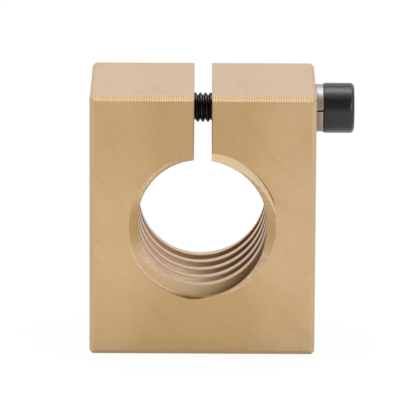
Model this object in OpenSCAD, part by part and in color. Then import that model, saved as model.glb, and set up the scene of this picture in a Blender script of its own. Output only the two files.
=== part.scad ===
// Split lead screw nut: a brass block threaded for a two-start left-hand lead screw,
// slit open on top and drawn together by one cap screw on a split spring washer.
// Millimetres, +Z up. The origin is the middle of the lead thread: the thread runs along Y,
// the clamp screw along X with its head on the +X side, and the front face is at -Y.

/* [Block] */
// Width of the block across X
block_w = 44.6; // [40:0.1:50]
// Depth of the block along the lead thread
block_d = 32; // [26:0.1:38]
// Height of the block
block_h = 52.4; // [50:0.1:60]
// Chamfer around the front and rear faces
face_chamfer = 0.9; // [0.3:0.05:1.5]
// Chamfer on the four long edges that run along Y
long_chamfer = 0.7; // [0.3:0.05:1.5]

/* [Lead thread] */
// Diameter over the thread crests, the bore of the nut
minor_d = 25.5; // [24:0.05:27]
// Diameter at the thread roots
major_d = 30; // [28:0.05:33]
// Distance between neighbouring thread turns
pitch = 6; // [5:0.05:8]
// Number of thread starts
starts = 2; // [1:1:3]
// Width of the flat thread crest
crest_w = 2.4; // [1:0.05:3]
// Slope of each thread flank, in degrees
flank = 15; // [5:0.5:30]
// Depth of the middle of a crest behind the front face, straight below the axis
crest_y = 4.3; // [0:0.05:6]
// Diameter of the countersinks at both faces
mouth_d = 29; // [27:0.05:31]
// Depth of each countersink
mouth_depth = 2.2; // [0.5:0.05:3]

/* [Slot] */
// Width of the slot through the top of the block
slot_w = 3.5; // [2:0.05:5]
// Small bevel on the front and rear edges of the slot
slot_bevel = 0.25; // [0.1:0.05:0.5]

/* [Clamp screw] */
// Depth of the clamp screw axis below the top of the block
screw_top = 5.7; // [5.2:0.05:6.5]
// Thread diameter of the clamp screw, over its crests
screw_d = 5.9; // [5:0.05:6]
// Length of the clamp screw under its head
screw_len = 35; // [30:1:40]
// Diameter of the screw head
head_d = 10; // [9:0.05:11]
// Height of the screw head
head_h = 6.15; // [5:0.05:7]
// Radius of the outer edge of the screw head
head_r = 0.9; // [0.2:0.05:1.2]
// Radius of the head edge next to the spring washer
seat_r = 0.3; // [0.1:0.05:0.6]
// Size of the hexagon socket across its flats
socket_af = 5; // [4:0.1:6]
// Depth of the hexagon socket
socket_depth = 3; // [2:0.1:4]
// Diameter of the drill point below the hexagon socket
socket_drill = 4.4; // [3:0.1:4.8]
// Diameter of the clearance hole in the right-hand ear
clear_d = 6.6; // [6:0.05:7]
// Diameter of the threaded hole in the left-hand ear
tapped_d = 6; // [5.8:0.02:6.2]
// Room left in the threaded hole beyond the tip of the screw
tip_room = 4; // [1:0.25:6]
// Chamfer at the tip of the screw
tip_chamfer = 0.6; // [0.2:0.05:1]

/* [Spring washer] */
// Outer diameter of the spring washer
washer_d = 9.5; // [9:0.05:10]
// Inner diameter of the spring washer
washer_hole_d = 6.2; // [6:0.05:6.6]
// Thickness of the spring washer
washer_t = 1.6; // [1:0.05:2]
// Width of the cut through the spring washer
washer_gap = 0.45; // [0.2:0.05:1]
// Slant of that cut, in degrees from square
cut_slant = 8; // [0:1:30]
// Rise of that cut above the screw axis, on the front side
cut_rise = 0.35; // [0:0.05:1.5]

/* [Hidden] */
$fn = 96;
brass = [0.76, 0.62, 0.42];
black_oxide = [0.13, 0.13, 0.14];
steel = [0.78, 0.77, 0.75];
front = -block_d / 2;
lead = pitch * starts;
seat_x = block_w / 2;
screw_z = block_h / 2 - screw_top;
tip_x = seat_x + washer_t - screw_len;
drill_slope = 59;
step_deg = 5;
// Every cut runs past the faces that it opens by this much.
over = 1;

// Rectangle with its four corners cut off at 45 degrees, centred.
module cut_rect(a, b, c)
    polygon([[-a/2 + c, -b/2], [a/2 - c, -b/2], [a/2, -b/2 + c], [a/2, b/2 - c],
             [a/2 - c, b/2], [-a/2 + c, b/2], [-a/2, b/2 - c], [-a/2, -b/2 + c]]);

// Block with every outer edge chamfered: the common part of three chamfered bars.
module bare_block()
    intersection() {
        rotate([90, 0, 0]) linear_extrude(block_d, center = true) cut_rect(block_w, block_h, long_chamfer);
        rotate([90, 0, 90]) linear_extrude(block_w, center = true) cut_rect(block_d, block_h, face_chamfer);
        linear_extrude(block_h, center = true) cut_rect(block_w, block_d, face_chamfer);
    }

// One thread groove of the nut: a trapezoid carried along a left-hand helix about Y.
// Angles start at the bottom and grow toward +X; the groove goes deeper as they grow.
module groove(y_mid) {
    root_r = major_d / 2;
    in_r = minor_d / 2 - over;
    half_crest = (pitch - crest_w) / 2;
    half_root = half_crest - (root_r - minor_d / 2) * tan(flank);
    half_in = half_crest + over * tan(flank);
    first = floor((-half_in - over - y_mid) / lead * 360 / step_deg) * step_deg;
    last = ceil((block_d + half_in + over - y_mid) / lead * 360 / step_deg) * step_deg;
    n = round((last - first) / step_deg);
    profile = [[in_r, -half_in], [root_r, -half_root], [root_r, half_root], [in_r, half_in]];
    pts = [for (i = [0 : n], q = profile)
        let (a = first + i * step_deg)
        [q[0] * sin(a), front + y_mid + lead * a / 360 + q[1], -q[0] * cos(a)]];
    sides = [for (i = [0 : n - 1], k = [0 : 3], t = [0, 1])
        let (a = 4 * i + k, b = 4 * i + (k + 1) % 4)
        t == 0 ? [a, b + 4, b] : [a, a + 4, b + 4]];
    ends = [[0, 1, 2], [0, 2, 3], [4 * n + 2, 4 * n + 1, 4 * n], [4 * n + 3, 4 * n + 2, 4 * n]];
    polyhedron(pts, concat(sides, ends), convexity = 12);
}

// Countersink at one face; side is -1 for the front and 1 for the rear.
module mouth(side) {
    slope = (mouth_d - minor_d) / 2 / mouth_depth;
    rotate([90 * side, 0, 0])
        rotate_extrude()
            polygon([[0, front - over], [mouth_d / 2 + slope * over, front - over],
                     [minor_d / 2, front + mouth_depth], [0, front + mouth_depth]]);
}

// Slot from the bore out through the top, with its face edges bevelled.
module slot() {
    top = block_h / 2 + over;
    wide = slot_w / 2 + slot_bevel;
    translate([-slot_w / 2, front - over, 0]) cube([slot_w, block_d + 2 * over, top]);
    for (s = [0, 1])
        mirror([0, s, 0])
            linear_extrude(top)
                polygon([[-wide - over, front - over], [wide + over, front - over], [0, front + wide]]);
}

// Drilled hole along +Z: full width from z = 0 up to h, and the cone of the drill point below.
module drilled(d, h)
    rotate_extrude()
        polygon([[0, -d / 2 / tan(drill_slope)], [d / 2, 0], [d / 2, h], [0, h]]);

// Holes for the clamp screw, along Z: clearance in the right-hand ear, blind thread in the left.
module screw_holes() {
    cylinder(d = clear_d, h = seat_x + over);
    translate([0, 0, tip_x - tip_room]) drilled(tapped_d, tip_room - tip_x);
}

module nut_block()
    color(brass)
    difference() {
        bare_block();
        rotate([90, 0, 0]) cylinder(d = minor_d, h = block_d + 2 * over, center = true);
        mouth(-1);
        mouth(1);
        slot();
        translate([0, 0, screw_z]) rotate([0, 90, 0]) screw_holes();
        for (k = [0 : starts - 1]) groove(crest_y + pitch / 2 + k * pitch);
    }

// Head of the screw along +Z from its seat, with rounded edges.
module screw_head()
    rotate_extrude() {
        translate([0, seat_r]) square([head_d / 2, head_h - seat_r - head_r]);
        square([head_d / 2 - seat_r, head_h / 2]);
        translate([0, head_h / 2]) square([head_d / 2 - head_r, head_h / 2]);
        translate([head_d / 2 - seat_r, seat_r]) circle(seat_r);
        translate([head_d / 2 - head_r, head_h - head_r]) circle(head_r);
    }

// Hexagon socket cap screw, head on +X, its seat on the spring washer.
module clamp_screw()
    color(black_oxide)
    translate([seat_x + washer_t, 0, screw_z]) rotate([0, 90, 0])
        difference() {
            union() {
                rotate_extrude()
                    polygon([[0, -screw_len], [screw_d / 2 - tip_chamfer, -screw_len],
                             [screw_d / 2, tip_chamfer - screw_len], [screw_d / 2, head_h / 2],
                             [0, head_h / 2]]);
                screw_head();
            }
            translate([0, 0, head_h - socket_depth]) {
                rotate(30) cylinder(d = socket_af / cos(30), h = socket_depth + over, $fn = 6);
                drilled(socket_drill, socket_depth / 2);
            }
        }

// Split spring washer of square wire, with a slanting cut at the front.
module spring_washer()
    color(steel)
    translate([seat_x, 0, screw_z])
        difference() {
            rotate([0, 90, 0])
                difference() {
                    cylinder(d = washer_d, h = washer_t);
                    translate([0, 0, -over]) cylinder(d = washer_hole_d, h = washer_t + 2 * over);
                }
            translate([washer_t / 2, -washer_d / 2, cut_rise]) rotate([0, -cut_slant, 0])
                cube([washer_t * 2, washer_d, washer_gap], center = true);
        }

nut_block();
clamp_screw();
spring_washer();
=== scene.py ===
import math
import bmesh
import bpy
import numpy as np
from mathutils import Matrix, Vector


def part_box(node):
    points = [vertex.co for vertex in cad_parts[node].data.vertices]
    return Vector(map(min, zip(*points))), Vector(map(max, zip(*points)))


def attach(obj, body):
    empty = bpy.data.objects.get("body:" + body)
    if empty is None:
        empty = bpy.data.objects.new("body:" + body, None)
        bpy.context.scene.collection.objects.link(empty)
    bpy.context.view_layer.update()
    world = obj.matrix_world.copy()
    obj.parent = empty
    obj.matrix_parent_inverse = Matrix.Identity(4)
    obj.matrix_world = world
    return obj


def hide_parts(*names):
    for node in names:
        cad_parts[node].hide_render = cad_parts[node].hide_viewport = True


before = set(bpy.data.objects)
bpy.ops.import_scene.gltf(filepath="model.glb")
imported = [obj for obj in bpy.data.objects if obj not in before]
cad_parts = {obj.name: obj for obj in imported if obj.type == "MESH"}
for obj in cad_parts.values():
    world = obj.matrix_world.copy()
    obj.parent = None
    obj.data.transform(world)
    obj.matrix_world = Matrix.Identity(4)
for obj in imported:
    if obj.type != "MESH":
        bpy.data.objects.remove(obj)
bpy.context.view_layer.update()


# ---------------------------------------------------------------- nut block
# The nut is one block of brass, milled square and chamfered by passes of a toothed cutter. It is
# bored, countersunk at both faces, threaded for a two-start left-hand lead screw, slit open to
# the top and drilled for its clamp screw. Here a blank loses what each of those tools sweeps.
MM = 0.001
half_w, half_d, half_h = np.array(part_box("nut_block")[1]) / MM
bore_r = 12.75
root_r = 15.0
pitch = 6.0
starts = 2
crest_w = 2.4
flank_slope = math.radians(15)
crest_y = 4.3
mouth_r = 14.5
mouth_depth = 2.2
slot_half = 1.75
slot_bevel = 0.25
face_chamfer = 0.9
long_chamfer = 0.7
screw_z = 20.5
clear_r = 3.3
tapped_r = 3.0
tip_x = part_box("clamp_screw")[0][0] / MM
tip_room = 4.0
drill_point = 0.6
tooth_spacing = 0.48
tooth_depth = 0.016
over = 1.0
crest_band = bore_r + 0.25
root_band = root_r - 0.4
rng = np.random.default_rng(7)


def stack(name, rings):
    """Closed skin over a stack of rings, an array [ring, point, xyz] in millimetres.

    Quads join each ring to the next, and the first and last rings are closed by flat faces.
    """
    count, size = rings.shape[:2]
    i, j = np.meshgrid(np.arange(count - 1), np.arange(size), indexing="ij")
    k = (j + 1) % size
    quads = np.stack([i * size + j, i * size + k, (i + 1) * size + k, (i + 1) * size + j], -1)
    loops = np.concatenate([quads.ravel(), np.arange(size)[::-1], (count - 1) * size + np.arange(size)])
    sides = quads.size // 4
    begins = np.concatenate([np.arange(sides) * 4, [sides * 4, sides * 4 + size]])
    mesh = bpy.data.meshes.new(name)
    mesh.vertices.add(count * size)
    mesh.vertices.foreach_set("co", (rings.reshape(-1, 3) * MM).ravel())
    mesh.loops.add(len(loops))
    mesh.loops.foreach_set("vertex_index", loops)
    mesh.polygons.add(len(begins))
    mesh.polygons.foreach_set("loop_start", begins)
    mesh.update(calc_edges=True)
    work = bmesh.new()
    work.from_mesh(mesh)
    bmesh.ops.recalc_face_normals(work, faces=work.faces)
    work.to_mesh(mesh)
    work.free()
    made = bpy.data.objects.new(name, mesh)
    bpy.context.scene.collection.objects.link(made)
    return made


def turned(name, along, radius, axis, centre=(0, 0, 0), steps=240):
    """Surface of revolution: at each distance along the axis, a ring of the given radius.

    Angles start at the bottom and grow toward +X round the Y axis, or toward -Y round the X axis.
    radius holds one value a ring, or an array [ring, angle] for a rippled or threaded surface.
    """
    angle = np.arange(steps) * 2 * np.pi / steps
    radius = np.array(radius, float).reshape(len(along), -1) * np.ones(steps)
    length = np.broadcast_to(np.array(along)[:, None], radius.shape)
    side, up = radius * np.sin(angle), -radius * np.cos(angle)
    order = [side, length, up] if axis == "Y" else [length, -side, up]
    return stack(name, np.stack(order, -1) + np.array(centre))


def prism(name, outline, low, high):
    """Straight bar along Z between two heights, its outline given as XY points."""
    ends = [np.c_[outline, np.full(len(outline), z)] for z in (low, high)]
    return stack(name, np.array(ends, float))


def cutter_pass(name, begin, end, face_a, face_b, size):
    """Bar that a chamfering cutter sweeps along the edge where two faces meet.

    Its inner side lies on the chamfer, at size / sqrt 2 below the edge, and dips by the depth of a
    scallop, |sin(pi s / spacing)| times a depth that differs from one tooth mark to the next.
    """
    begin, end = np.array(begin, float), np.array(end, float)
    face_a, face_b = np.array(face_a, float), np.array(face_b, float)
    length = np.linalg.norm(end - begin)
    samples = 8
    marks = math.ceil((length + 2 * over) / tooth_spacing)
    s = np.arange(marks * samples + 1) * tooth_spacing / samples
    uneven = np.repeat(rng.uniform(0.5, 1.5, marks), samples)
    dip = tooth_depth * np.append(uneven, uneven[-1]) * np.abs(np.sin(np.pi * s / tooth_spacing))
    out, across = (face_a + face_b) / math.sqrt(2), (face_a - face_b) / math.sqrt(2)
    spine = begin + (end - begin) / length * (s[:, None] - over)
    reach = size / math.sqrt(2) + over
    inner = spine - out * (size / math.sqrt(2) + dip[:, None])
    outer = spine + out * 2 * over
    return stack(name, np.stack([inner - across * reach, inner + across * reach,
                                 outer + across * reach, outer - across * reach], 1))


def helix_groove(name, y_middle):
    """Thread groove: a trapezoid carried along a left-hand helix round Y.

    At angle a the middle of the groove lies y_middle + lead a / (2 pi) behind the front face.
    The crest corners are broken at 45 degrees, and so are the root corners.
    """
    broken, rounded, inside, beyond = 0.12, 0.3, 0.8, 4.0
    lead = pitch * starts
    half_crest = (pitch - crest_w) / 2
    top = half_crest - broken * math.tan(flank_slope)
    root = half_crest - (root_r - rounded - bore_r) * math.tan(flank_slope)
    half = [(bore_r - inside, top + broken + inside), (bore_r + broken, top),
            (root_r - rounded, root), (root_r, root - rounded)]
    section = np.array(half + [(r, -w) for r, w in half[::-1]])
    turns = np.arange((-beyond - y_middle) / lead, (2 * half_d + beyond - y_middle) / lead, 1 / 240)
    r, w = section[:, 0], section[:, 1]
    y = w + (y_middle + lead * turns)[:, None] - half_d
    angle = turns[:, None] * 2 * np.pi
    return stack(name, np.stack([r * np.sin(angle), y, -r * np.cos(angle)], -1))


def cut(blank, tools):
    """The blank less every tool, as one new mesh."""
    for tool in tools:
        step = blank.modifiers.new(tool.name, "BOOLEAN")
        step.operation, step.solver, step.object = "DIFFERENCE", "MANIFOLD", tool
    bpy.context.view_layer.update()
    seen = blank.evaluated_get(bpy.context.evaluated_depsgraph_get())
    mesh = bpy.data.meshes.new_from_object(seen)
    blank.modifiers.clear()
    blank.data = mesh
    for tool in tools:
        bpy.data.objects.remove(tool)


def faces_of(piece):
    """Normals and centres of the faces, as rows of xyz, the centres in millimetres."""
    normal, centre = np.empty((2, len(piece.data.polygons) * 3))
    piece.data.polygons.foreach_get("normal", normal)
    piece.data.polygons.foreach_get("center", centre)
    return normal.reshape(-1, 3), centre.reshape(-1, 3) / MM


def smooth_faces(piece, angle):
    """Smooth shading, with faces square to an axis flat and edges above the angle sharp."""
    piece.data.set_sharp_from_angle(angle=math.radians(angle))
    square = np.abs(faces_of(piece)[0]).max(1) > 0.99999
    piece.data.polygons.foreach_set("use_smooth", ~square)


nut = prism("brass_nut", [(-half_w, -half_d), (half_w, -half_d), (half_w, half_d), (-half_w, half_d)],
            -half_h, half_h)
tools = []
for a in (-1, 1):
    for b in (-1, 1):
        tools += [cutter_pass(f"pass_x{a}{b}", (-half_w, a * half_d, b * half_h),
                              (half_w, a * half_d, b * half_h), (0, a, 0), (0, 0, b), face_chamfer),
                  cutter_pass(f"pass_z{a}{b}", (b * half_w, a * half_d, -half_h),
                              (b * half_w, a * half_d, half_h), (0, a, 0), (b, 0, 0), face_chamfer),
                  cutter_pass(f"pass_y{a}{b}", (a * half_w, -half_d, b * half_h),
                              (a * half_w, half_d, b * half_h), (a, 0, 0), (0, 0, b), long_chamfer)]
slope = (mouth_r - bore_r) / mouth_depth
tools.append(turned("boring_bar", [-half_d - over, mouth_depth - half_d, half_d - mouth_depth, half_d + over],
                    [mouth_r + slope * over, bore_r, bore_r, mouth_r + slope * over], "Y"))
tools += [helix_groove(f"thread_tool_{k}", crest_y + pitch * (k + 0.5)) for k in range(starts)]
wide = slot_half + slot_bevel + over
deep = half_d - slot_bevel
saw = [(-wide, -half_d - over), (wide, -half_d - over), (slot_half, -deep), (slot_half, deep),
       (wide, half_d + over), (-wide, half_d + over), (-slot_half, deep), (-slot_half, -deep)]
tools.append(prism("slitting_saw", saw, 0, half_h + over))
hole = (0, 0, screw_z)
tools.append(turned("clearance_drill", [0, half_w + over], [clear_r, clear_r], "X", hole, 96))
tools.append(turned("tap", [tip_x - tip_room - tapped_r * drill_point, tip_x - tip_room, 0],
                    [0.01, tapped_r, tapped_r], "X", hole, 96))
cut(nut, tools)

# Points within 0.01 mm of the six outer faces are put on them, so that the faces shade flat.
points = np.empty(len(nut.data.vertices) * 3)
nut.data.vertices.foreach_get("co", points)
points = points.reshape(-1, 3)
outer = np.array([half_w, half_d, half_h]) * MM
points = np.where(np.abs(np.abs(points) - outer) < 0.01 * MM, np.sign(points) * outer, points)
nut.data.vertices.foreach_set("co", points.ravel())
nut.data.update()
smooth_faces(nut, 25)

# Each face carries which tool made it or which part of the thread it is, so that the material can tone it
# apart; many of those tones are painted light and shade.
normal, centre = faces_of(nut)
tilt = np.abs(normal)
reach = np.hypot(centre[:, 0], centre[:, 2])
in_bore = (reach < root_r + 0.05) & (np.abs(centre[:, 1]) < half_d - 0.001)
coned = in_bore & (np.abs(tilt[:, 1] - math.sin(math.atan(slope))) < 0.03)
near_face = np.abs(centre[:, 1]) > half_d - mouth_depth - 0.01
edge_cut = (reach > root_r) & (tilt.max(1) < 0.9)
off_slot = (np.abs(centre[:, 0]) > slot_half + 0.1) | (centre[:, 2] < 0)
surfaces = {
    "countersunk": coned & near_face,
    "flank": in_bore & (tilt[:, 1] > 0.9),
    "root": in_bore & (reach > root_band) & (tilt[:, 1] < 0.8) & ~coned & off_slot,
    "crest": in_bore & (reach < crest_band) & (tilt[:, 1] < 0.8) & ~coned & off_slot,
    "chamfered": edge_cut,
    "toothed": edge_cut & (centre[:, 2] > half_h - 1.0) & (tilt[:, 1] > 0.5),
    "top": (normal[:, 2] > 0.9) & (centre[:, 2] > half_h - 0.1),
}
for name, mask in surfaces.items():
    nut.data.attributes.new(name, "FLOAT", "FACE").data.foreach_set("value", mask.astype(np.float32))


def linear(code):
    """sRGB hex colour as linear RGBA: ((c + 0.055) / 1.055) ^ 2.4, or c / 12.92 near black."""
    parts = np.array([int(code[i:i + 2], 16) for i in (1, 3, 5)]) / 255
    return (*np.where(parts <= 0.04045, parts / 12.92, ((parts + 0.055) / 1.055) ** 2.4), 1.0)


def add(tree, kind, inputs, **settings):
    """Adds one shader node with its settings, and sets or links its inputs.

    An input takes a value, another node's output, or a node, whose first live output it then reads.
    """
    made = tree.nodes.new("ShaderNode" + kind)
    for name, value in settings.items():
        setattr(made, name, value)
    for socket, value in inputs.items():
        if isinstance(value, bpy.types.Node):
            value = next(output for output in value.outputs if output.enabled)
        if isinstance(value, bpy.types.NodeSocket):
            tree.links.new(value, made.inputs[socket])
        else:
            made.inputs[socket].default_value = value
    return made


def finish_of(name):
    """New node material, with its node tree and its Principled shader."""
    made = bpy.data.materials.new(name)
    made.use_nodes = True
    return made, made.node_tree, made.node_tree.nodes["Principled BSDF"]


# Milled brass, a satin yellow, browned by painted shade in the middle and toward the ends. The eye sees a
# cutter's tooth marks along the chamfers and the ticks of the countersink on its cones, with painted glints.
brass, tree, shader = finish_of("milled_brass")
made_by = {name: add(tree, "Attribute", {}, attribute_name=name).outputs["Fac"] for name in surfaces}
at = add(tree, "VectorMath", {0: add(tree, "TexCoord", {}).outputs["Object"], "Scale": 1 / MM},
         operation="SCALE")
x_mm, y_mm, z_mm = add(tree, "SeparateXYZ", {0: at}).outputs

# Tone: clouds 12 mm across, painted shade that darkens the middle and the ends, and a rosier right-hand side.
from_middle = add(tree, "Math", {0: x_mm}, operation="ABSOLUTE")
from_waist = add(tree, "Math", {0: z_mm}, operation="ABSOLUTE")
cloud = add(tree, "TexNoise", {"Vector": at, "Scale": 1 / 12, "Detail": 4.0, "Roughness": 0.6})
painted_shade_middle = add(tree, "MapRange", {0: from_middle, 1: 16, 2: 4, 4: 0.75}, interpolation_type="SMOOTHSTEP")
ends = add(tree, "MapRange", {0: from_waist, 1: 6, 2: 20, 4: 0.4}, interpolation_type="SMOOTHSTEP")
mottled = add(tree, "MapRange", {0: cloud, 1: 0.3, 2: 0.7, 4: 0.35})
painted_shade_middle_ends = add(tree, "Math", {0: painted_shade_middle, 1: ends}, operation="ADD")
painted_shade_and_mottle = add(tree, "Math", {0: painted_shade_middle_ends, 1: mottled}, operation="ADD", use_clamp=True)
rosy = add(tree, "MapRange", {0: x_mm, 1: 6, 2: 20}, interpolation_type="SMOOTHSTEP")
fresh = add(tree, "Mix", {0: rosy, 6: linear("#D4B487"), 7: linear("#D4B590")}, data_type="RGBA")
tone = add(tree, "Mix", {0: painted_shade_and_mottle, 6: fresh, 7: linear("#C2A273")}, data_type="RGBA")

# The top is painted paler, a painted sheen for the white it mirrors at a glancing angle, and the
# chamfers get a paler, greyer yellow.
painted_top_sheen = add(tree, "Math", {0: made_by["top"], 1: 0.8}, operation="MULTIPLY")
tone = add(tree, "Mix", {0: painted_top_sheen, 6: tone, 7: linear("#CAAF92")}, data_type="RGBA")
tone = add(tree, "Mix", {0: made_by["chamfered"], 6: tone, 7: linear("#C6AC89")}, data_type="RGBA")

# Tooth marks of the chamfering cutter, strongest at the top edge and running out on the top face;
# their light and dark bands are painted glints and shade. A wave texture repeats every 2 pi / 20 of its
# scaled length.
WAVE = 2 * math.pi / 20
teeth = add(tree, "TexWave", {"Vector": at, "Scale": WAVE / tooth_spacing, "Distortion": 1.5,
                              "Detail Scale": 0.6}, bands_direction="X")
on_chamfer = add(tree, "MapRange", {0: from_waist, 1: half_h - 0.9, 2: half_h - 0.25, 3: 0.5})
on_chamfer = add(tree, "Math", {0: on_chamfer, 1: made_by["toothed"]}, operation="MULTIPLY")
from_axis = add(tree, "Math", {0: y_mm}, operation="ABSOLUTE")
run_out = add(tree, "MapRange", {0: from_axis, 1: half_d - 2.9, 2: half_d - 0.9, 4: 0.6})
run_out = add(tree, "Math", {0: run_out, 1: made_by["top"]}, operation="MULTIPLY")
toothed = add(tree, "Math", {0: on_chamfer, 1: run_out}, operation="ADD")
painted_tooth_glints = add(tree, "Mix", {0: teeth, 6: linear("#9D8463"), 7: linear("#C5AC8B")}, data_type="RGBA")
painted_run_out_glints = add(tree, "Mix", {0: teeth, 6: linear("#A88D6F"), 7: linear("#EACFB2")}, data_type="RGBA")
tone = add(tree, "Mix", {0: on_chamfer, 6: tone, 7: painted_tooth_glints}, data_type="RGBA")
tone = add(tree, "Mix", {0: run_out, 6: tone, 7: painted_run_out_glints}, data_type="RGBA")

# Countersinks: 200 ticks of chatter round each cone, coarser than a real tool leaves, so that they
# show from a step away. The cone is painted brighter in four broad strokes round it and toward the
# right, a painted highlight of the lamps, and the ticks are strongest on that highlight.
below = add(tree, "Math", {0: z_mm, 1: -1.0}, operation="MULTIPLY")
turn = add(tree, "Math", {0: x_mm, 1: below}, operation="ARCTAN2")
streak = add(tree, "TexNoise", {"Vector": at, "Scale": 1.2, "Detail": 4.0, "Roughness": 0.7})
ticks = 200
chatter = add(tree, "TexWave", {"Vector": turn, "Scale": ticks / 20}, bands_direction="X")
patchy = add(tree, "MapRange", {0: streak, 1: 0.35, 2: 0.6})
chatter = add(tree, "Math", {0: chatter, 1: patchy}, operation="MULTIPLY")
highlight_strokes = add(tree, "Math", {0: turn, 1: 4.0, 2: -math.pi}, operation="MULTIPLY_ADD")
highlight_strokes = add(tree, "Math", {0: highlight_strokes}, operation="COSINE")
painted_cone_highlight = add(tree, "MapRange", {0: highlight_strokes, 1: -1.0}, interpolation_type="SMOOTHSTEP")
painted_light_right = add(tree, "MapRange", {0: x_mm, 2: 12, 4: 0.4})
painted_cone_highlight = add(tree, "Math", {0: painted_cone_highlight, 1: painted_light_right}, operation="ADD", use_clamp=True)
cone_tone = add(tree, "Mix", {0: painted_cone_highlight, 6: linear("#D6B27A"), 7: linear("#FFE8C0")}, data_type="RGBA")
ticked = add(tree, "MapRange", {0: painted_cone_highlight, 1: 0.3, 3: 0.1, 4: 0.6})
ticked = add(tree, "Math", {0: chatter, 1: ticked}, operation="MULTIPLY")
cone_tone = add(tree, "Mix", {0: ticked, 6: cone_tone, 7: linear("#B08C58")}, data_type="RGBA")
tone = add(tree, "Mix", {0: made_by["countersunk"], 6: tone, 7: cone_tone}, data_type="RGBA")

# Thread, toned with painted light and shade: the flanks painted near white behind the first turn and
# toward the top, against the shade in the bore and for the floor they mirror, rosier on the left, a
# darker yellow from 20 to 28 mm in, and painted brown shade on the right; crests painted pale as lit
# lands, roots painted brown as the shade in the groove, and the thin lip on the left painted bright.
inner = add(tree, "MapRange", {0: y_mm, 1: 5 - half_d, 2: 7 - half_d})
leftward = add(tree, "MapRange", {0: turn, 1: math.radians(-15), 2: math.radians(-35)})
painted_flank_light = add(tree, "Mix", {0: leftward, 6: linear("#FFE8BC"), 7: linear("#ECC8AC")}, data_type="RGBA")
upper = add(tree, "MapRange", {0: turn, 1: math.radians(60), 2: math.radians(95), 4: 0.8})
painted_flank_lit = add(tree, "Math", {0: inner, 1: upper}, operation="MAXIMUM")
deep = add(tree, "MapRange", {0: y_mm, 1: 20 - half_d, 2: 28 - half_d})
flank_tone = add(tree, "Mix", {0: painted_flank_lit, 6: linear("#C6A983"), 7: painted_flank_light}, data_type="RGBA")
flank_tone = add(tree, "Mix", {0: deep, 6: flank_tone, 7: linear("#D9B988")}, data_type="RGBA")
# Painted shade: the flanks on the right are browned.
painted_shade_right = add(tree, "MapRange", {0: turn, 1: math.radians(-5), 2: math.radians(40), 4: 0.9})
painted_shade_right = add(tree, "Math", {0: painted_shade_right, 1: upper}, operation="SUBTRACT", use_clamp=True)
flank_tone = add(tree, "Mix", {0: painted_shade_right, 6: flank_tone, 7: linear("#A17345")}, data_type="RGBA")
# Painted shade and light at the root: roots brown, the lip on the left bright.
lip = add(tree, "MapRange", {0: turn, 1: math.radians(-12), 2: math.radians(-25)})
root_tone = add(tree, "Mix", {0: lip, 6: linear("#B08C60"), 7: linear("#E4C9A2")}, data_type="RGBA")
lip = add(tree, "Math", {0: lip, 1: made_by["root"]}, operation="MULTIPLY")
tone = add(tree, "Mix", {0: made_by["flank"], 6: tone, 7: flank_tone}, data_type="RGBA")
tone = add(tree, "Mix", {0: made_by["root"], 6: tone, 7: root_tone}, data_type="RGBA")
# Crests painted pale, a painted highlight on their lands.
tone = add(tree, "Mix", {0: made_by["crest"], 6: tone, 7: linear("#D2B89E")}, data_type="RGBA")

# Faint slanting smears, 20 mm by 2 mm, and a fine grain of 0.8 mm over everything.
slanted = add(tree, "Mapping", {"Vector": at, "Rotation": (0, math.radians(50), 0), "Scale": (20, 20, 3)},
              vector_type="TEXTURE")
smear = add(tree, "TexNoise", {"Vector": slanted, "Scale": 1.0, "Detail": 3.0})
smear = add(tree, "MapRange", {0: smear, 1: 0.55, 2: 0.75, 4: 0.14})
grain = add(tree, "MapRange", {0: streak, 1: 0.3, 2: 0.7, 4: 0.16})
dirt = add(tree, "Math", {0: smear, 1: grain}, operation="ADD")
tone = add(tree, "Mix", {0: dirt, 6: tone, 7: linear("#A08358")}, data_type="RGBA")
tree.links.new(tone.outputs[2], shader.inputs["Base Color"])

rough = add(tree, "Math", {0: cloud, 1: 0.08, 2: 0.36}, operation="MULTIPLY_ADD")
rough = add(tree, "Math", {0: made_by["countersunk"], 1: 0.1, 2: rough}, operation="MULTIPLY_ADD")
rough = add(tree, "Math", {0: made_by["flank"], 1: 0.15, 2: rough}, operation="MULTIPLY_ADD")
tree.links.new(rough.outputs[0], shader.inputs["Roughness"])
bare = add(tree, "Math", {0: made_by["countersunk"], 1: -0.5, 2: 1.0}, operation="MULTIPLY_ADD")
bare = add(tree, "Math", {0: made_by["flank"], 1: -0.5, 2: bare}, operation="MULTIPLY_ADD")
bare = add(tree, "Math", {0: lip, 1: -0.7, 2: bare}, operation="MULTIPLY_ADD")
tree.links.new(bare.outputs[0], shader.inputs["Metallic"])

# Relief in millimetres: fly-cutter arcs 0.55 mm apart about a far centre, the tooth marks, grain.
arc_at = add(tree, "Mapping", {"Vector": at, "Location": (70, 0, 55)})
arcs = add(tree, "TexWave", {"Vector": arc_at, "Scale": WAVE / 0.55, "Distortion": 1.5, "Detail Scale": 0.3},
           wave_type="RINGS", rings_direction="Y")
nicks = add(tree, "Math", {0: teeth, 1: toothed}, operation="MULTIPLY")
ripple = add(tree, "Math", {0: chatter, 1: made_by["countersunk"]}, operation="MULTIPLY")
relief = add(tree, "Math", {0: arcs, 1: 0.0012, 2: 0.0}, operation="MULTIPLY_ADD")
relief = add(tree, "Math", {0: nicks, 1: 0.008, 2: relief}, operation="MULTIPLY_ADD")
relief = add(tree, "Math", {0: ripple, 1: 0.008, 2: relief}, operation="MULTIPLY_ADD")
relief = add(tree, "Math", {0: streak, 1: 0.003, 2: relief}, operation="MULTIPLY_ADD")
bump = add(tree, "Bump", {"Height": relief, "Strength": 1.0, "Distance": MM})
tree.links.new(bump.outputs[0], shader.inputs["Normal"])
nut.data.materials.clear()
nut.data.materials.append(brass)
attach(nut, "block")
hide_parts("nut_block")


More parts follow.
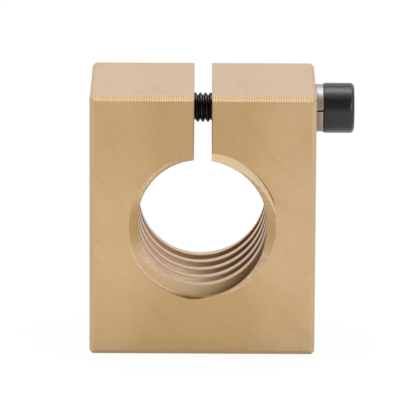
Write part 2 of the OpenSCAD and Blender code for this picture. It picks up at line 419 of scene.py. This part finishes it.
# ---------------------------------------------------------------- spring washer
# A split washer of square spring-steel wire, wound and cut at a slant, then hardened and left
# bright. It lies flat under the head of the screw, its cut to the front. The cut is drawn 0.3 mm
# wide, narrower than the 0.45 mm of the solid.
washer_low, washer_high = (np.array(corner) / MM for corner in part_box("spring_washer"))
washer_t = washer_high[0] - washer_low[0]
washer_r = (washer_high[2] - washer_low[2]) / 2
wire_r = 3.1
cut_slant = math.radians(8)
cut_gap = 0.3
cut_rise = 0.35
corner_r = 0.12


def split_ring(name):
    """Square wire with rounded corners, carried round the X axis from one side of the cut to the other.

    The cut leans by the tangent of its slant for each millimetre across the wire.
    """
    corner = np.linspace(0, 2 * np.pi, 24, endpoint=False)
    half_t, half_wire = washer_t / 2 - corner_r, (washer_r - wire_r) / 2 - corner_r
    wire_x = np.sign(np.cos(corner)) * half_t + corner_r * np.cos(corner)
    ring_r = (washer_r + wire_r) / 2 + np.sign(np.sin(corner)) * half_wire + corner_r * np.sin(corner)
    gap = cut_gap / washer_r
    begin = np.pi / 2 + gap / 2 + (cut_rise + wire_x * math.tan(cut_slant)) / washer_r
    angle = begin + np.linspace(0, 2 * np.pi - gap, 181)[:, None]
    x = np.broadcast_to(wire_x + (washer_low[0] + washer_high[0]) / 2, angle.shape)
    return stack(name, np.stack([x, -ring_r * np.sin(angle), -ring_r * np.cos(angle) + screw_z], -1))


washer = split_ring("split_washer")
smooth_faces(washer, 40)

# Bright spring steel, smooth from drawing the wire, with a faint tarnish of 2 mm patches.
steel, tree, shader = finish_of("spring_steel")
shader.inputs["Metallic"].default_value = 1.0
at = add(tree, "VectorMath", {0: add(tree, "TexCoord", {}).outputs["Object"], "Scale": 1 / MM},
         operation="SCALE")
tarnish = add(tree, "TexNoise", {"Vector": at, "Scale": 1 / 2, "Detail": 3.0})
tone = add(tree, "Mix", {0: tarnish, 6: linear("#A9A29F"), 7: linear("#968E8A")}, data_type="RGBA")
tree.links.new(tone.outputs[2], shader.inputs["Base Color"])
rough = add(tree, "Math", {0: tarnish, 1: 0.1, 2: 0.42}, operation="MULTIPLY_ADD")
tree.links.new(rough.outputs[0], shader.inputs["Roughness"])
washer.data.materials.append(steel)
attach(washer, "washer")
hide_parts("spring_washer")


# ---------------------------------------------------------------- clamp screw
# A socket head cap screw of alloy steel, its thread rolled and its socket forged, blackened in
# hot oxide. It passes through the right-hand ear and is screwed into the left-hand one.
screw_low, screw_high = (np.array(corner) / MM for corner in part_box("clamp_screw"))
head_r = (screw_high[2] - screw_low[2]) / 2
head_h = 6.15
seat_x = screw_high[0] - head_h
shank_r = 2.94
groove_r = 2.42
thread_pitch = 1.0
thread_len = 24.0
head_round = 0.9
seat_round = 0.3
tip_chamfer = 0.6
socket_af = 5.0
socket_depth = 3.0
socket_drill_r = 2.2
around = 96


def quarter(x, r, radius, begin, end):
    """Points of a quarter round: centre (x, r) plus radius times (cos t, sin t), t in degrees."""
    t = np.radians(np.linspace(begin, end, 8))
    return np.c_[x + radius * np.cos(t), r + radius * np.sin(t)]


def rolled_thread(x):
    """Radius [x, angle] of the thread: a vee with a flat crest and root, repeated once a pitch.

    Its depth fades to nothing over the last turn and a half, and the tip is chamfered.
    """
    crest_flat, root_flat, fade_out = 0.125, 0.25, 1.5
    turns = (x[:, None] / thread_pitch + np.arange(around) / around) % 1
    height = np.clip((np.abs(turns - 0.5) * 2 - crest_flat) / (1 - crest_flat - root_flat), 0, 1)
    left = (screw_low[0] + thread_len - x[:, None]) / (fade_out * thread_pitch)
    thread = shank_r - (shank_r - groove_r) * (1 - height) * np.clip(left, 0, 1)
    return np.minimum(thread, shank_r - tip_chamfer + (x[:, None] - screw_low[0]))


thread_x = np.arange(screw_low[0], screw_low[0] + thread_len, thread_pitch / 16)
body_r = shank_r + 0.02
plain = np.concatenate([[[screw_low[0] + thread_len + 0.1, body_r], [seat_x - 0.2, body_r]],
                        quarter(seat_x + seat_round, head_r - seat_round, seat_round, 180, 90),
                        quarter(screw_high[0] - head_round, head_r - head_round, head_round, 90, 0)])
screw = turned("cap_screw", np.concatenate([thread_x, plain[:, 0]]),
               np.concatenate([rolled_thread(thread_x), plain[:, 1:] * np.ones(around)]), "X", hole, around)
floor_x = screw_high[0] - socket_depth
corner_r = socket_af / 2 / math.cos(math.radians(30))
bevel = 0.25
hexagon = np.radians(np.arange(6) * 60)
rims = [(floor_x, corner_r), (screw_high[0] - bevel, corner_r),
        (screw_high[0] + over, corner_r + bevel + over)]
socket = stack("broach", np.array([np.c_[np.full(6, x), r * np.sin(hexagon), r * np.cos(hexagon) + screw_z]
                                   for x, r in rims]))
point = turned("socket_drill", [floor_x - socket_drill_r * drill_point, floor_x, floor_x + over],
               [0.01, socket_drill_r, socket_drill_r], "X", hole, 48)
cut(screw, [socket, point])
smooth_faces(screw, 35)

# Black oxide, a thin oiled skin that is nearly black and shines softly, a little uneven.
oxide, tree, shader = finish_of("black_oxide")
at = add(tree, "VectorMath", {0: add(tree, "TexCoord", {}).outputs["Object"], "Scale": 1 / MM},
         operation="SCALE")
oily = add(tree, "TexNoise", {"Vector": at, "Scale": 1 / 3, "Detail": 4.0})
tone = add(tree, "Mix", {0: oily, 6: linear("#100F10"), 7: linear("#1B1818")}, data_type="RGBA")
tree.links.new(tone.outputs[2], shader.inputs["Base Color"])
rough = add(tree, "Math", {0: oily, 1: 0.12, 2: 0.24}, operation="MULTIPLY_ADD")
tree.links.new(rough.outputs[0], shader.inputs["Roughness"])
screw.data.materials.clear()
screw.data.materials.append(oxide)
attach(screw, "screw")
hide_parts("clamp_screw")


# ---------------------------------------------------------------- studio
# A white sweep and floor, one soft box overhead and a little behind, and one at the front right.
# The room above and behind the camera is dim, which gives the turned metal its dark bands.
world = bpy.data.worlds.new("studio")
bpy.context.scene.world = world
world.use_nodes = True
tree = world.node_tree
direction = add(tree, "TexCoord", {}).outputs["Generated"]
ray = add(tree, "SeparateXYZ", {0: direction})
toward = add(tree, "MapRange", {0: ray.outputs["Y"], 1: -0.3, 2: -0.6}, interpolation_type="SMOOTHSTEP")
above = add(tree, "MapRange", {0: ray.outputs["Z"], 2: 0.2}, interpolation_type="SMOOTHSTEP")
dim = add(tree, "Math", {0: toward, 1: above}, operation="MULTIPLY")
level = add(tree, "MapRange", {0: dim, 3: 1.0, 4: 0.12})
seen = add(tree, "Mix", {0: add(tree, "LightPath", {}).outputs["Is Camera Ray"], 2: level, 3: 1.0})
tree.links.new(seen.outputs[0], tree.nodes["Background"].inputs["Strength"])
tree.nodes["Background"].inputs["Color"].default_value = (1, 1, 1, 1)

side, ground = 3.0, -half_h * MM
mesh = bpy.data.meshes.new("floor")
mesh.from_pydata([(-side, -side, ground), (side, -side, ground), (side, side, ground), (-side, side, ground)],
                 [], [(0, 1, 2, 3)])
floor = bpy.data.objects.new("floor", mesh)
bpy.context.scene.collection.objects.link(floor)

# White paper: matt, and bright to the camera and, by half, to what is mirrored in the metal.
paper, tree, shader = finish_of("white_paper")
shader.inputs["Base Color"].default_value = (0.85, 0.85, 0.85, 1)
shader.inputs["Roughness"].default_value = 1.0
glow = add(tree, "Emission", {"Color": (1, 1, 1, 1), "Strength": 1.0})
path = add(tree, "LightPath", {})
mirrored = add(tree, "Math", {0: path.outputs["Is Glossy Ray"], 1: 0.5}, operation="MULTIPLY")
either = add(tree, "Math", {0: path.outputs["Is Camera Ray"], 1: mirrored}, operation="MAXIMUM")
lit = add(tree, "Math", {0: either, 1: 0.95}, operation="MULTIPLY")
blend = add(tree, "MixShader", {0: lit, 1: shader.outputs[0], 2: glow})
tree.links.new(blend.outputs[0], tree.nodes["Material Output"].inputs["Surface"])
mesh.materials.append(paper)


def soft_box(name, place, size, power):
    """Rectangular area lamp at a place in metres, aimed at the object."""
    lamp = bpy.data.lights.new(name, "AREA")
    lamp.shape, lamp.size, lamp.size_y, lamp.energy = "RECTANGLE", size[0], size[1], power
    made = bpy.data.objects.new(name, lamp)
    made.location = place
    made.rotation_euler = (-Vector(place)).to_track_quat("-Z", "Y").to_euler()
    bpy.context.scene.collection.objects.link(made)


soft_box("overhead", (0, 0.1, 0.6), (0.8, 0.27), 3.0)
soft_box("front_right", (0.58, -0.66, 0.27), (0.35, 0.5), 2.6)

# The camera looks down on the object by 14 degrees, with its shift holding the framing.
elevation = math.radians(14)
roll = math.radians(-0.29)
distance = 1.054
image = 416
pixels_a_mm = 5.0
camera = bpy.data.cameras.new("camera")
camera.sensor_width = 36
camera.lens = pixels_a_mm * distance / MM * camera.sensor_width / image
camera.shift_x = 0.013
camera.shift_y = -0.0022
ahead = Vector((0, math.cos(elevation), -math.sin(elevation)))
up = Vector((0, math.sin(elevation), math.cos(elevation)))
right = Vector((1, 0, 0))
rolled_right = right * math.cos(roll) - up * math.sin(roll)
rolled_up = right * math.sin(roll) + up * math.cos(roll)
pose = Matrix((rolled_right, rolled_up, -ahead)).transposed().to_4x4()
pose.translation = -ahead * distance
eye = bpy.data.objects.new("camera", camera)
eye.matrix_world = pose
bpy.context.scene.collection.objects.link(eye)
bpy.context.scene.camera = eye
bpy.context.scene.view_settings.view_transform = "Standard"
